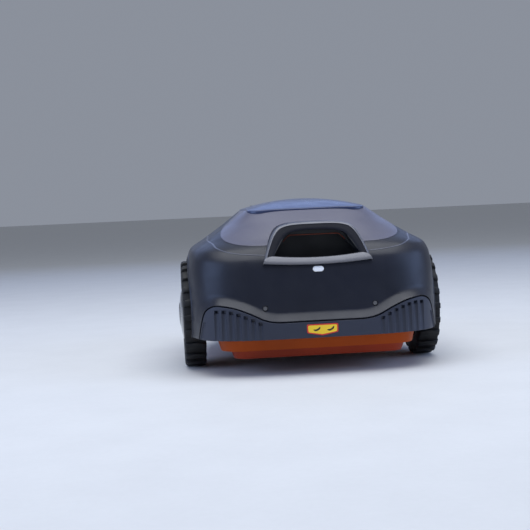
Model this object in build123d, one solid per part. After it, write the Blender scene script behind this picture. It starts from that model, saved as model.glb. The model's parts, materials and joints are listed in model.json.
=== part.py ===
from build123d import *
import os
from math import copysign, cos, pi, radians, sin

# Robotic lawn mower. Millimetres. +X right, +Y forward, +Z up.
# The origin is on the ground, under the middle of the machine's box.

# ---------------------------------------------------------------- driving sizes
REAR_Y = -310.0
SHELL_BOTTOM = 61.0
DECK_Z = 270.0
WIDEST_Y = -100.0
SKIN = 2.0
WALL = 4.5
GAP = 0.4

# Stations of the domed shell: height, half width, rear end, front end, rear and front squareness.
STATIONS = [
    (SHELL_BOTTOM, 213.0, -300.0, 308.0, 4.0, 2.8),
    (100.0, 213.0, -298.0, 306.0, 4.0, 2.8),
    (160.0, 212.0, -290.0, 295.0, 4.0, 2.8),
    (186.0, 209.0, -283.0, 281.0, 4.0, 2.75),
    (203.0, 203.5, -271.0, 266.0, 3.8, 2.8),
    (222.0, 176.0, -242.0, 243.0, 3.3, 2.9),
    (246.0, 139.5, -205.0, 204.0, 3.1, 3.4),
    (DECK_Z, 106.0, -165.0, 150.0, 4.0, 4.5),
]

# Drive wheels, at the rear.
WHEEL_Y = -112.0
WHEEL_R = 93.0
LUG_HEIGHT = 5.0
LUG_COUNT = 22
TYRE_IN = 184.0
TYRE_OUT = 222.0
RIM_R = 66.0
AXLE_R = 6.0
COVER_X = 229.0
COVER_R = 58.0
RIM_FACE = 213.2
ARCH_R = 101.0
ARCH_IN = 176.0
RUNNING = 0.05

# Casters, at the front.
CASTER_X = 92.0
CASTER_Y = 222.0
CASTER_R = 36.0
CASTER_W = 24.0
CASTER_TRAIL = 14.0
STEM_R = 6.0

# Chassis: a tub split from its lid at SPLIT_Z, and a lower tier under it.
TUB_HALF = 168.0
TUB_REAR = -277.0
TUB_FRONT = 156.0
SNOUT_HALF = 118.0
SNOUT_FRONT = 255.0
TUB_FLOOR = 40.0
SNOUT_FLOOR = 88.0
SPLIT_Z = 110.0
LID_ROOF = 148.0
LID_REAR = -268.0
SKID_BOTTOM = 27.0
CASE_WALL = 3.0

# Cutting system, hung from a carriage that a screw raises.
DISC_Y = 20.0
DISC_R = 95.0
DISC_Z = 31.0
WELL_R = 122.0
WELL_ROOF = 70.0
BLADE_RADIUS = 84.0
BLADE_COUNT = 3
BLADE_Z = 28.8
BLADE_LENGTH, BLADE_WIDTH, BLADE_THICK = 38.0, 17.0, 1.4
SCREW_X = 48.0
MOTOR_R = 30.0
CARRIAGE_Z = 76.0
MOTOR_TOP = 112.0

# Hatch over the control bay.
HATCH_HALF = 103.0
HATCH_REAR = -171.0
HATCH_FRONT = 80.0
HATCH_TOP = 288.0
HATCH_GAP = 0.6
HINGE_Y = 85.0
HINGE_Z = 275.0
BAY_HALF = 90.0
BAY_REAR = -128.0
BAY_FRONT = 64.0
BAY_FLOOR = 238.0
KNOB_R = 20.0
STOP_Y = 114.0
STOP_R = 17.0

# Handle recess at the rear.
HOOD_HALF = 91.0
HOOD_FOOT = 180.0
HOOD_TOP = 248.0
LIP_FOOT = (-288.0, 179.0)
LIP_TOP = (-256.0, 248.0)
MOUTH_HALF = 70.0
MOUTH_TOP = 235.0
POCKET_END = -222.0

FLOAT_Z = LID_ROOF + 0.4
POST_X = 103.0
POST_YS = (-70.0, 84.0)
STUD_SPOTS = [(x, y) for x in (-112, 112) for y in (-170, 130)]

BATTERY_REAR = -258.0
BATTERY_FRONT = -188.0
BATTERY_HALF = 70.0

os.makedirs("parts", exist_ok=True)


def keep(name, shape):
    """Gives a finished piece its own file."""
    export_step(shape, f"parts/{name}.step")


def box(x0, x1, y0, y1, z0, z1):
    """A block between two corners."""
    return Pos((x0 + x1) / 2, (y0 + y1) / 2, (z0 + z1) / 2) * Box(x1 - x0, y1 - y0, z1 - z0)


def post(x, y, z0, z1, r):
    """An upright round bar."""
    return Pos(x, y, (z0 + z1) / 2) * Cylinder(r, z1 - z0)


def bar_x(x0, x1, y, z, r):
    """A round bar along X."""
    return Pos((x0 + x1) / 2, y, z) * Rot(0, 90, 0) * Cylinder(r, abs(x1 - x0))


def bar_y(y0, y1, x, z, r):
    """A round bar along Y."""
    return Pos(x, (y0 + y1) / 2, z) * Rot(90, 0, 0) * Cylinder(r, abs(y1 - y0))


def slab(x0, x1, y0, y1, z0, z1, r):
    """A block with upright round corners."""
    face = Pos((x0 + x1) / 2, (y0 + y1) / 2, z0) * RectangleRounded(x1 - x0, y1 - y0, r)
    return extrude(face, amount=z1 - z0, dir=(0, 0, 1))


def station(z):
    """The dome's half width, ends and squareness at a height, between its stations."""
    z = min(max(z, STATIONS[0][0]), STATIONS[-1][0])
    for low, high in zip(STATIONS, STATIONS[1:]):
        if z <= high[0]:
            t = (z - low[0]) / (high[0] - low[0])
            return [a + (b - a) * t for a, b in zip(low[1:], high[1:])]


def superellipse(half, rear, front, rear_n, front_n, z, count=24):
    """A plan outline: half ellipses of their own squareness behind and in front of the widest line."""
    points = []
    for k in range(count):
        turn = 2 * pi * k / count
        c, s = cos(turn), sin(turn)
        n, reach = (front_n, front - WIDEST_Y) if c >= 0 else (rear_n, WIDEST_Y - rear)
        x = copysign(abs(s) ** (2 / n), s) * half
        y = WIDEST_Y + copysign(abs(c) ** (2 / n), c) * reach
        points.append((x, y, z))
    return make_face(Spline(*points, periodic=True))


def dome(inset):
    """The shell's closed form, moved inwards by a distance square to its slope."""
    sections = []
    for z, *_ in STATIONS:
        half, rear, front, rear_n, front_n = station(z + inset * 0.9)
        top = z - inset if z == DECK_Z else z
        sections.append(superellipse(half - inset, rear + inset, front - inset, rear_n, front_n, top))
    return loft(sections, ruled=True)


def rear_plan(reach, z0, z1):
    """An upright prism whose rear is the apron's plan curve, grown by a distance."""
    face = superellipse(213 + reach, REAR_Y - reach, reach, 4, 2, z0)
    return extrude(face, amount=z1 - z0, dir=(0, 0, 1))


def seen_from_rear(points, radius, y0, y1):
    """A prism along Y from an outline in X and Z with rounded corners."""
    outline = make_face(Polyline(*[(x, z) for x, z in points], close=True))
    if radius:
        outline = fillet(outline.vertices(), radius)
    face = Plane.XZ.offset(-y1) * outline
    return extrude(face, amount=y1 - y0, dir=(0, -1, 0))


def mirrored(points):
    """Closes a right-hand outline with its mirror image."""
    return points + [(-x, z) for x, z in reversed(points) if x > 0]


def ring(r_out, r_in, z0, z1, x=0.0, y=0.0):
    """An upright tube."""
    return post(x, y, z0, z1, r_out) - post(x, y, z0 - 1, z1 + 1, r_in)


# ---------------------------------------------------------------- floating shell
def arch(x_in, r):
    """The space of a wheel well on both sides."""
    return [bar_x(s * x_in, s * 260, WHEEL_Y, WHEEL_R, r) for s in (-1, 1)]


def hood_outline(grow, foot):
    """The arched hood seen from the rear, grown by a distance."""
    side = [(HOOD_HALF + grow, foot), (80 + grow, 208 + grow), (69 + grow, 231 + grow), (49, HOOD_TOP + grow)]
    return mirrored(side)


def mouth_outline(grow, foot):
    """The arched mouth of the handle recess seen from the rear."""
    side = [(MOUTH_HALF + 8 + grow, foot), (MOUTH_HALF - 10 + grow, 212 + grow), (46, MOUTH_TOP + grow)]
    return mirrored(side)


def behind_lip():
    """Everything behind the slanted plane of the hood's lip."""
    slope = (LIP_TOP[0] - LIP_FOOT[0]) / (LIP_TOP[1] - LIP_FOOT[1])
    low, high = 150.0, 300.0
    side = [
        (-420, low),
        (LIP_FOOT[0] + (low - LIP_FOOT[1]) * slope, low),
        (LIP_FOOT[0] + (high - LIP_FOOT[1]) * slope, high),
        (-420, high),
    ]
    face = Plane.YZ.offset(-150) * make_face(Polyline(*side, close=True))
    return extrude(face, amount=300, dir=(1, 0, 0))


outer = dome(0)
middle = dome(SKIN)
inner = dome(WALL)
lip_cut = behind_lip()

mouth_space = seen_from_rear(mouth_outline(0, 184), 9, -330, POCKET_END)
pocket_block = seen_from_rear(mouth_outline(2.5, 181.5), 11, -330, POCKET_END + 2.5)
hood_block = seen_from_rear(hood_outline(0, HOOD_FOOT), 9, -330, -150)

panel_plan = [(70, -261), (112, -254), (148, -222), (151, -172), (117, -65), (104, 30), (97, 100), (60, 148)]
panel_outline = fillet(make_face(Polyline(*mirrored(panel_plan), close=True)).vertices(), 14)
panel_prism = extrude(panel_outline, amount=100, dir=(0, 0, 1))
panel_zone = Pos(0, 0, 206) * panel_prism

shell = outer - inner
shell -= (outer - middle) & panel_zone
shell -= arch(ARCH_IN, ARCH_R)
shell -= seen_from_rear(mouth_outline(2.9, 181.1), 11, -330, POCKET_END + 2.9)
shell -= slab(-BAY_HALF - 1, BAY_HALF + 1, BAY_REAR - 1, BAY_FRONT + 1, 250, 290, 16)
shell -= post(0, STOP_Y, 250, 290, STOP_R + 0.6)
shell -= box(-36, 36, 280, 330, 84, 108)

LENS_Z = 173.0
lens_slot = Plane.XZ.offset(250) * Pos(0, LENS_Z) * SlotOverall(18, 9)
lens_body = extrude(lens_slot, amount=80, dir=(0, -1, 0)) & dome(-0.8)
lens_body -= dome(3.5)
lens_hole = extrude(Plane.XZ.offset(250) * Pos(0, LENS_Z) * SlotOverall(18.4, 9.4), amount=80, dir=(0, -1, 0))
shell -= lens_hole

SCREW_SPOTS = [(x, 111.0) for x in (-90, 90)]
SCREW_FACE = -294.4
for x, z in SCREW_SPOTS:
    shell -= bar_y(-310, -280, x, z, 3.2)
    shell -= bar_y(-310, SCREW_FACE, x, z, 5)

groove = [(80, 88), (132, 111), (170, 118), (189, 106), (198, SHELL_BOTTOM)]
apron_outline = fillet(make_face(Polyline(*mirrored(groove), close=True)).vertices(), 7)
apron_face = Plane.XZ.offset(100) * apron_outline
apron_zone = extrude(apron_face, amount=250, dir=(0, -1, 0))
apron = (rear_plan(0, SHELL_BOTTOM, 125) - dome(-0.2)) & apron_zone

FLUTE_PITCH = 11.5
FLUTE_WIDTH = 7.3
flutes = rear_plan(1, SHELL_BOTTOM - 1, 125) - rear_plan(-2.5, SHELL_BOTTOM - 1, 125)
for side in (-1, 1):
    for k in range(7):
        x = 100 + k * FLUTE_PITCH
        top = min(80 + k * 6.0, 107)
        apron -= flutes & box(side * x - FLUTE_WIDTH / 2, side * x + FLUTE_WIDTH / 2, -330, -150, 60, top)

shield_zone = seen_from_rear([(27, 86), (27, 71), (0, 67), (-27, 71), (-27, 86)], 0, -330, -250)
sticker = (rear_plan(0.4, 62, 90) - rear_plan(0, 61, 91)) & shield_zone

hood = hood_block - seen_from_rear(mouth_outline(2.9, 181.1), 11, -340, -140)
hood -= box(-72, 72, -340, -140, 170, 190)
hood = hood - lip_cut - outer
top_panel = (outer - middle) & (Pos(0, 0, 206.3) * panel_prism)
top_panel -= seen_from_rear(mouth_outline(2.9, 181.1), 11, -330, POCKET_END + 2.9)
top_panel -= slab(-BAY_HALF - 1, BAY_HALF + 1, BAY_REAR - 1, BAY_FRONT + 1, 250, 290, 16)
top_panel -= post(0, STOP_Y, 250, 290, STOP_R + 0.6)

pocket = pocket_block - mouth_space - lip_cut
pocket -= box(-120, 120, -340, -200, 175, 184.2)
sill_side = [(-287, 176), (-287, 180), (-262, 193), (-230, 193), (-230, 184.2), (-262, 184.2), (-280, 176)]
sill_face = Plane.YZ.offset(-MOUTH_HALF) * make_face(Polyline(*sill_side, close=True))
sill = extrude(sill_face, amount=2 * MOUTH_HALF, dir=(1, 0, 0)) & mouth_space

arches = []
for side in (-1, 1):
    liner = bar_x(side * ARCH_IN, side * 214, WHEEL_Y, WHEEL_R, ARCH_R + 2.5)
    liner -= bar_x(side * (ARCH_IN - 1), side * 260, WHEEL_Y, WHEEL_R, ARCH_R)
    liner = (liner & inner) - box(-260, 260, -400, 100, -50, SHELL_BOTTOM + 1)
    arches += liner.solids()

posts = []
for x in (-POST_X, POST_X):
    for y in POST_YS:
        pillar = post(x, y, FLOAT_Z + 2, 272, 7) + post(x, y, 182.5, 188, 11)
        posts += (pillar & inner).solids()

keep("outer_shell", shell)
keep("top_panel", top_panel)
keep("rear_apron", apron)
keep("handle_hood", hood)
keep("handle_pocket", pocket)
keep("handle_sill", sill)
keep("caution_sticker", sticker)
keep("rear_lens", lens_body)
keep("wheel_arch_liners", Compound(arches))
keep("shell_posts", Compound(posts))
keep("shell_screws", Compound([bar_y(SCREW_FACE, SCREW_FACE + 2.8, x, z, 3.2) for x, z in SCREW_SPOTS]))

# ---------------------------------------------------------------- control bay and hatch
tray = slab(-BAY_HALF, BAY_HALF, BAY_REAR, BAY_FRONT, BAY_FLOOR, DECK_Z, 15)
tray -= slab(-BAY_HALF + 2.5, BAY_HALF - 2.5, BAY_REAR + 2.5, BAY_FRONT - 2.5, BAY_FLOOR + 3, 280, 12.5)
tray += post(SCREW_X, DISC_Y, BAY_FLOOR, BAY_FLOOR + 10, KNOB_R + 11)
tray -= post(SCREW_X, DISC_Y, BAY_FLOOR - 5, 260, KNOB_R + 8.5)

KEY_W, KEY_D, KEY_TOP = 20.0, 13.0, 244.5
KEY_FLANGE = 2.0
KEY_Y = -70.0
KEYS = {"key_power": -57.0, "key_start": -27.0, "key_home": 3.0, "key_ok": 33.0}
for name, x in KEYS.items():
    x0, x1, y0, y1 = x - KEY_W / 2, x + KEY_W / 2, KEY_Y - KEY_D / 2, KEY_Y + KEY_D / 2
    cap = slab(x0, x1, y0, y1, BAY_FLOOR - 3, KEY_TOP, 3)
    cap += slab(x0 - KEY_FLANGE, x1 + KEY_FLANGE, y0 - KEY_FLANGE, y1 + KEY_FLANGE, BAY_FLOOR - 4, BAY_FLOOR - 1.5, 4)
    tray -= slab(x0 - GAP, x1 + GAP, y0 - GAP, y1 + GAP, BAY_FLOOR - 8, BAY_FLOOR + 22, 3.4)
    keep(name, chamfer(cap.faces().sort_by(Axis.Z)[-1].edges(), 0.8))

window = slab(-72, 6, -30, 18, BAY_FLOOR + 3, BAY_FLOOR + 6, 4)
board = box(-74, 52, -90, -14, 224, 226)
for x in (-70, 46):
    for y in (-86, -18):
        board += post(x, y, 226, BAY_FLOOR, 3)
keep("control_tray", tray)
keep("display_window", chamfer(window.faces().sort_by(Axis.Z)[-1].edges(), 0.6))
keep("control_board", board)

seal = slab(-97, 97, -139, 74, DECK_Z, DECK_Z + 0.3, 22)
seal -= slab(-BAY_HALF - 2, BAY_HALF + 2, BAY_REAR - 2, BAY_FRONT + 2, 260, 280, 17)
keep("hatch_seal", seal)

SIDE_R = 340.0
LONG_R = 528.0
CROWN_Y = -34.0


def crown(drop):
    """The hatch's double-curved crown, as a block under two crossing barrels."""
    across = bar_y(-220, 160, 0, HATCH_TOP - SIDE_R - drop, SIDE_R)
    along = bar_x(-160, 160, CROWN_Y, HATCH_TOP - LONG_R - drop, LONG_R)
    return across & along


lid_plan = slab(-HATCH_HALF, HATCH_HALF, HATCH_REAR, HATCH_FRONT, 255, 300, 26)
lid_hollow = slab(-HATCH_HALF + 6, HATCH_HALF - 6, HATCH_REAR + 6, HATCH_FRONT - 6, 250, 300, 22)
lid = (lid_plan & crown(0)) - (lid_hollow & crown(3)) - dome(-HATCH_GAP)
ears = []
for side in (-1, 1):
    x0, x1 = side * 52, side * 74
    low, high = min(x0, x1), max(x0, x1)
    tongue = box(low, high, 62, HINGE_Y, 272.2, 277) + bar_x(low, high, HINGE_Y, HINGE_Z, 4)
    lid += tongue
    for x in (low - 5, high + 0.5):
        ear = box(x, x + 4.5, HATCH_FRONT + 1, HINGE_Y + 4, DECK_Z, HINGE_Z)
        ear += bar_x(x, x + 4.5, HINGE_Y, HINGE_Z, 4)
        ears.append(ear - bar_x(x - 1, x + 6, HINGE_Y, HINGE_Z, 2))
lid -= bar_x(-90, 90, HINGE_Y, HINGE_Z, 2 + RUNNING)
keep("hatch_lid", lid)
keep("hatch_hinge_ears", Compound(ears))
pins = [bar_x(s * 47, s * 79, HINGE_Y, HINGE_Z, 2) for s in (-1, 1)]
keep("hatch_pins", Compound(pins))

button = post(0, STOP_Y, 256, 281, STOP_R)
button = fillet(button.faces().sort_by(Axis.Z)[-1].edges(), 3)
button += post(0, STOP_Y, 256, 259.5, STOP_R + 3)
keep("stop_button", button)
collar = ring(26, STOP_R + 0.6, DECK_Z, DECK_Z + 4, 0, STOP_Y)
keep("stop_collar", chamfer(collar.edges().sort_by(Axis.Z)[-1], 1))

# ---------------------------------------------------------------- float between shell and chassis
plate = slab(-122, 122, -192, 152, FLOAT_Z, FLOAT_Z + 5, 20)
plate -= slab(-84, 84, -150, 108, FLOAT_Z - 1, FLOAT_Z + 7, 16)
for x, y in STUD_SPOTS:
    slot = Pos(x, y, FLOAT_Z - 1) * Rot(0, 0, 90) * SlotOverall(26, 11)
    plate -= extrude(slot, amount=8, dir=(0, 0, 1))
for x in (-POST_X, POST_X):
    for y in POST_YS:
        plate += post(x, y, FLOAT_Z, 182, 11)
        plate -= post(x, y, FLOAT_Z - 1, 183, 7.3)
keep("float_plate", plate)

studs = []
for x, y in STUD_SPOTS:
    studs.append(post(x, y, LID_ROOF, FLOAT_Z + 6, 4.5) + post(x, y, FLOAT_Z + 5.5, FLOAT_Z + 8, 8))


# ---------------------------------------------------------------- chassis
def chassis_plan(inset, rear):
    """Plan of the tub: a wide rear part and a narrower snout over the casters."""
    wide = Pos(0, (rear + TUB_FRONT) / 2) * RectangleRounded(
        2 * (TUB_HALF - inset), TUB_FRONT - rear - 2 * inset, 46 - inset)
    snout = Pos(0, (60 + SNOUT_FRONT) / 2) * RectangleRounded(
        2 * (SNOUT_HALF - inset), SNOUT_FRONT - 60 - 2 * inset, 36 - inset)
    return wide + snout


def wide_plan(inset, front=TUB_FRONT):
    """Plan of the deep part of the tub alone."""
    return Pos(0, (TUB_REAR + front) / 2) * RectangleRounded(
        2 * (TUB_HALF - inset), front - TUB_REAR - 2 * inset, 46 - inset)


def upright(face, z0, z1, taper=0.0):
    """An upright prism, which may narrow downwards."""
    if taper:
        return extrude(Pos(0, 0, z1) * face, amount=z1 - z0, dir=(0, 0, -1), taper=taper)
    return extrude(Pos(0, 0, z0) * face, amount=z1 - z0, dir=(0, 0, 1))


pan = upright(wide_plan(0), 66, SPLIT_Z) + upright(wide_plan(0), TUB_FLOOR, 66, 14)
pan += upright(chassis_plan(0, TUB_REAR), SNOUT_FLOOR, SPLIT_Z)
pan -= upright(wide_plan(CASE_WALL), 66, SPLIT_Z + 1)
pan -= upright(wide_plan(CASE_WALL), TUB_FLOOR + CASE_WALL, 66.01, 14)
pan -= upright(chassis_plan(CASE_WALL, TUB_REAR), SNOUT_FLOOR + CASE_WALL, SPLIT_Z + 1)
pan += post(0, DISC_Y, TUB_FLOOR, WELL_ROOF + 3, WELL_R + 3)
pan -= post(0, DISC_Y, 0, WELL_ROOF, WELL_R)
pan -= post(0, DISC_Y, 0, 90, 18)
pan -= box(-BATTERY_HALF - 4, BATTERY_HALF + 4, BATTERY_REAR - 4, BATTERY_FRONT + 2, 30, 50)
for side in (-1, 1):
    pan -= bar_x(side * 150, side * 190, WHEEL_Y, WHEEL_R, AXLE_R + 2)
    pan += post(side * CASTER_X, CASTER_Y, SNOUT_FLOOR, SPLIT_Z - 1, 12)
    pan -= post(side * CASTER_X, CASTER_Y, 80, 120, STEM_R + RUNNING)
for x in (-48, 48):
    for y in (176, 232):
        pan += post(x, y, SNOUT_FLOOR, 104, 4)
keep("belly_pan", pan)

skid_plan = Pos(0, -62) * RectangleRounded(292, 416, 30)
skid = upright(skid_plan, SKID_BOTTOM, TUB_FLOOR, 22)
skid_core = Pos(0, -62) * RectangleRounded(284, 408, 26)
skid -= upright(skid_core, SKID_BOTTOM + CASE_WALL, TUB_FLOOR + 0.01, 22)
skid += post(0, DISC_Y, SKID_BOTTOM, TUB_FLOOR, WELL_R + 3)
skid -= post(0, DISC_Y, 0, 60, WELL_R)
door_rear, door_front = BATTERY_REAR - 1.5, BATTERY_FRONT + 5.5
skid -= box(-78, 78, door_rear - 0.5, door_front + 0.5, 20, 36)
SKID_SCREWS = [(x, y) for x in (-125, 125) for y in (-240, -150, 125)]
for x, y in SKID_SCREWS:
    skid -= post(x, y, SKID_BOTTOM - 1, SKID_BOTTOM + 1.5, 4.4)
keep("skid_plate", skid)

door = slab(-77.5, 77.5, door_rear, door_front, SKID_BOTTOM, SKID_BOTTOM + 3, 4)
keep("battery_door", door)
battery = slab(-BATTERY_HALF, BATTERY_HALF, BATTERY_REAR, BATTERY_FRONT, SKID_BOTTOM + 4, 104, 6)
for k in range(4):
    battery -= box(-52 + k * 30, -38 + k * 30, BATTERY_REAR - 8, BATTERY_REAR + 2, 60, 98)
keep("battery_pack", battery)

cover = upright(chassis_plan(0, LID_REAR), SPLIT_Z, LID_ROOF)
cover -= upright(chassis_plan(CASE_WALL, LID_REAR), SPLIT_Z - 1, LID_ROOF - CASE_WALL)
cover -= upright(Pos(0, 220) * Rectangle(400, 124), LID_ROOF - 14, LID_ROOF + 1)
cover += upright(Pos(0, 206.5) * Rectangle(2 * SNOUT_HALF - 20, 97), LID_ROOF - 17, LID_ROOF - 14) & upright(
    chassis_plan(0, LID_REAR), SPLIT_Z, LID_ROOF)
cover += upright(chassis_plan(0, LID_REAR), LID_ROOF - 17, LID_ROOF - 14) & box(-200, 200, 158, 300, 100, 160)
cover += box(-TUB_HALF + 1, TUB_HALF - 1, 155, 158, SPLIT_Z, LID_ROOF) & upright(
    chassis_plan(0, LID_REAR), SPLIT_Z, LID_ROOF)
cover += post(SCREW_X, DISC_Y, LID_ROOF - 1, LID_ROOF + 8, 12)
cover -= post(SCREW_X, DISC_Y, 100, 170, 6 + RUNNING)
keep("chassis_lid", cover)

pcb = box(-56, 56, 168, 240, 104, 106)
CHIPS = [(-40, -10, 180, 210, 4), (5, 40, 178, 196, 8), (8, 30, 204, 230, 6), (-44, -20, 218, 232, 9)]
for x0, x1, y0, y1, high in CHIPS:
    pcb += box(x0, x1, y0, y1, 106, 106 + high)
keep("main_board", pcb)

for side, name in ((-1, "left"), (1, "right")):
    gear = bar_x(side * 118, side * 160, WHEEL_Y, WHEEL_R, 27)
    gear += bar_x(side * 64, side * 118, WHEEL_Y, WHEEL_R, 19)
    gear += bar_x(side * 160, side * 164.9, WHEEL_Y, WHEEL_R, 13)
    gear -= bar_x(side * 138, side * 170, WHEEL_Y, WHEEL_R, AXLE_R + RUNNING)
    keep(f"gearmotor_{name}", gear)

contacts = []
for x in (-20, 20):
    contacts.append(box(x - 9, x + 9, SNOUT_FRONT, SNOUT_FRONT + 26, 92, 100))
keep("charging_contacts", Compound(contacts))
CASE_SCREWS = [(x, y) for x in (-120, 120) for y in (-230, -60, 120)]
heads = [post(x, y, LID_ROOF, LID_ROOF + 0.3, 4) for x, y in CASE_SCREWS]
under = [post(x, y, SKID_BOTTOM + 0.4, SKID_BOTTOM + 1.5, 4) for x, y in SKID_SCREWS]
keep("case_screws", Compound(heads + under + studs))

# ---------------------------------------------------------------- cutting system
carriage = post(0, DISC_Y, CARRIAGE_Z, CARRIAGE_Z + 5, 40)
carriage += box(0, SCREW_X, DISC_Y - 11, DISC_Y + 11, CARRIAGE_Z, CARRIAGE_Z + 5)
carriage += post(SCREW_X, DISC_Y, CARRIAGE_Z, CARRIAGE_Z + 22, 11)
carriage -= post(0, DISC_Y, CARRIAGE_Z - 1, CARRIAGE_Z + 6, 12)
carriage -= post(SCREW_X, DISC_Y, CARRIAGE_Z - 1, CARRIAGE_Z + 30, 6.4)
GUIDES = [(-50.0, DISC_Y - 26), (-50.0, DISC_Y + 26)]
for x, y in GUIDES:
    carriage += box(x, -20, y - 8, y + 8, CARRIAGE_Z, CARRIAGE_Z + 5)
    carriage += post(x, y, CARRIAGE_Z, CARRIAGE_Z + 16, 8)
    carriage -= post(x, y, CARRIAGE_Z - 1, CARRIAGE_Z + 20, 4.4)
keep("motor_carriage", carriage)
rods = [post(x, y, WELL_ROOF + 3, LID_ROOF - CASE_WALL, 4) for x, y in GUIDES]
keep("guide_rods", Compound(rods))
motor = post(0, DISC_Y, CARRIAGE_Z + 5, MOTOR_TOP, MOTOR_R)
motor = chamfer(motor.faces().sort_by(Axis.Z)[-1].edges(), 2)
motor -= post(0, DISC_Y, CARRIAGE_Z, 100, 4 + RUNNING)
keep("blade_motor", motor)

screw = post(SCREW_X, DISC_Y, WELL_ROOF + 4, BAY_FLOOR + 6, 6)
keep("lift_screw", screw)
knob = post(SCREW_X, DISC_Y, BAY_FLOOR + 6, BAY_FLOOR + 24, KNOB_R)
knob = chamfer(knob.faces().sort_by(Axis.Z)[-1].edges(), 2)
for k in range(12):
    turn = radians(30 * k)
    knob -= post(SCREW_X + 21.5 * cos(turn), DISC_Y + 21.5 * sin(turn), BAY_FLOOR, BAY_FLOOR + 30, 3)
knob += box(SCREW_X - 2, SCREW_X + 2, DISC_Y + 4, DISC_Y + 16, BAY_FLOOR + 24, BAY_FLOOR + 25)
keep("height_knob", knob)

disc = post(0, DISC_Y, DISC_Z, DISC_Z + 3, DISC_R) + post(0, DISC_Y, DISC_Z + 3, DISC_Z + 9, 14)
for k in range(6):
    turn = radians(60 * k + 30)
    disc -= post(50 * cos(turn), DISC_Y + 50 * sin(turn), DISC_Z - 1, DISC_Z + 4, 11)
disc -= post(0, DISC_Y, DISC_Z - 5, DISC_Z + 20, 4)
blade_screws = []
for k in range(BLADE_COUNT):
    turn = 360 * k / BLADE_COUNT
    place = Pos(0, DISC_Y, 0) * Rot(0, 0, turn)
    disc -= place * post(BLADE_RADIUS, 0, DISC_Z - 1, DISC_Z + 4, 3)
    shank = post(BLADE_RADIUS, 0, BLADE_Z - 1.2, DISC_Z + 3, 3)
    head = post(BLADE_RADIUS, 0, BLADE_Z - 2.4, BLADE_Z - 0.6, 6)
    blade_screws.append(place * (shank + head))
    blank = Pos(BLADE_RADIUS + 10, 0, BLADE_Z) * RectangleRounded(BLADE_LENGTH, BLADE_WIDTH, 3)
    blade = extrude(blank, amount=BLADE_THICK, dir=(0, 0, 1)) - post(BLADE_RADIUS, 0, 20, 40, 3 + RUNNING)
    keep(f"blade_{k + 1}", place * blade)
keep("blade_disc", disc)
keep("blade_screws", Compound(blade_screws))
shaft = post(0, DISC_Y, DISC_Z, CARRIAGE_Z + 24, 4) + post(0, DISC_Y, DISC_Z - 3, DISC_Z, 9)
keep("disc_shaft", shaft)

# ---------------------------------------------------------------- drive wheels
for side, name in ((-1, "left"), (1, "right")):
    tyre = bar_x(side * TYRE_IN, side * TYRE_OUT, WHEEL_Y, WHEEL_R, WHEEL_R - LUG_HEIGHT)
    for k in range(LUG_COUNT):
        lug = box(TYRE_IN, TYRE_OUT - 1, -5, 5, WHEEL_R - LUG_HEIGHT - 3, WHEEL_R)
        lug = Rot(360 * k / LUG_COUNT, 0, 0) * lug
        if side < 0:
            lug = mirror(lug, about=Plane.YZ)
        tyre += Pos(0, WHEEL_Y, WHEEL_R) * lug
    tyre &= bar_x(side * TYRE_IN, side * TYRE_OUT, WHEEL_Y, WHEEL_R, WHEEL_R)
    tyre -= bar_x(side * 180, side * 240, WHEEL_Y, WHEEL_R, RIM_R)
    keep(f"tyre_{name}", tyre)
    rim = bar_x(side * 187, side * 219, WHEEL_Y, WHEEL_R, RIM_R)
    rim -= bar_x(side * 206, side * 230, WHEEL_Y, WHEEL_R, RIM_R - 5)
    rim -= bar_x(side * 180, side * 200, WHEEL_Y, WHEEL_R, RIM_R - 5)
    rim += bar_x(side * 190, side * 213, WHEEL_Y, WHEEL_R, 15)
    for k in range(6):
        turn = radians(60 * k)
        rim -= bar_x(side * 195, side * 210, WHEEL_Y + 38 * cos(turn), WHEEL_R + 38 * sin(turn), 11)
    rim -= bar_x(side * 180, side * 230, WHEEL_Y, WHEEL_R, AXLE_R)
    keep(f"rim_{name}", rim)
    keep(f"axle_{name}", bar_x(side * 139, side * 213, WHEEL_Y, WHEEL_R, AXLE_R))
    edge_x = RIM_FACE + 1.8
    arc = ThreePointArc((0, COVER_X), (34, COVER_X - 4), (COVER_R, edge_x))
    half = make_face(arc + Polyline((COVER_R, edge_x), (COVER_R, RIM_FACE), (0, RIM_FACE), (0, COVER_X)))
    dish = revolve(half, Axis.Y)
    keep(f"hub_cover_{name}", Pos(0, WHEEL_Y, WHEEL_R) * Rot(0, 0, -90 * side) * dish)

# ---------------------------------------------------------------- casters
for side, name in ((-1, "left"), (1, "right")):
    x = side * CASTER_X
    axle_y = CASTER_Y - CASTER_TRAIL
    half_w = CASTER_W / 2
    fork = post(x, CASTER_Y, 76, SPLIT_Z - 2, STEM_R) + post(x, CASTER_Y, 80, 86, 11)
    fork += box(x - half_w - 5, x + half_w + 5, axle_y - 9, CASTER_Y + 11, 76, 81)
    for s in (-1, 1):
        a, b = x + s * (half_w + 1), x + s * (half_w + 5)
        fork += box(min(a, b), max(a, b), axle_y - 9, axle_y + 9, CASTER_R, 78)
        fork += bar_x(a, b, axle_y, CASTER_R, 9)
    fork -= bar_x(x - 30, x + 30, axle_y, CASTER_R, 3)
    keep(f"caster_fork_{name}", fork)
    keep(f"caster_axle_{name}", bar_x(x - half_w - 5.5, x + half_w + 5.5, axle_y, CASTER_R, 3))
    roll = bar_x(x - half_w, x + half_w, axle_y, CASTER_R, CASTER_R)
    roll = fillet(roll.edges().filter_by(GeomType.CIRCLE), 7)
    roll -= bar_x(x - 20, x + 20, axle_y, CASTER_R, 3 + RUNNING)
    keep(f"caster_wheel_{name}", roll)
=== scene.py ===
import json
from math import cos, pi, radians, sin, tan

import bmesh
import bpy
import numpy as np
from mathutils import Matrix, Vector


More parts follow.
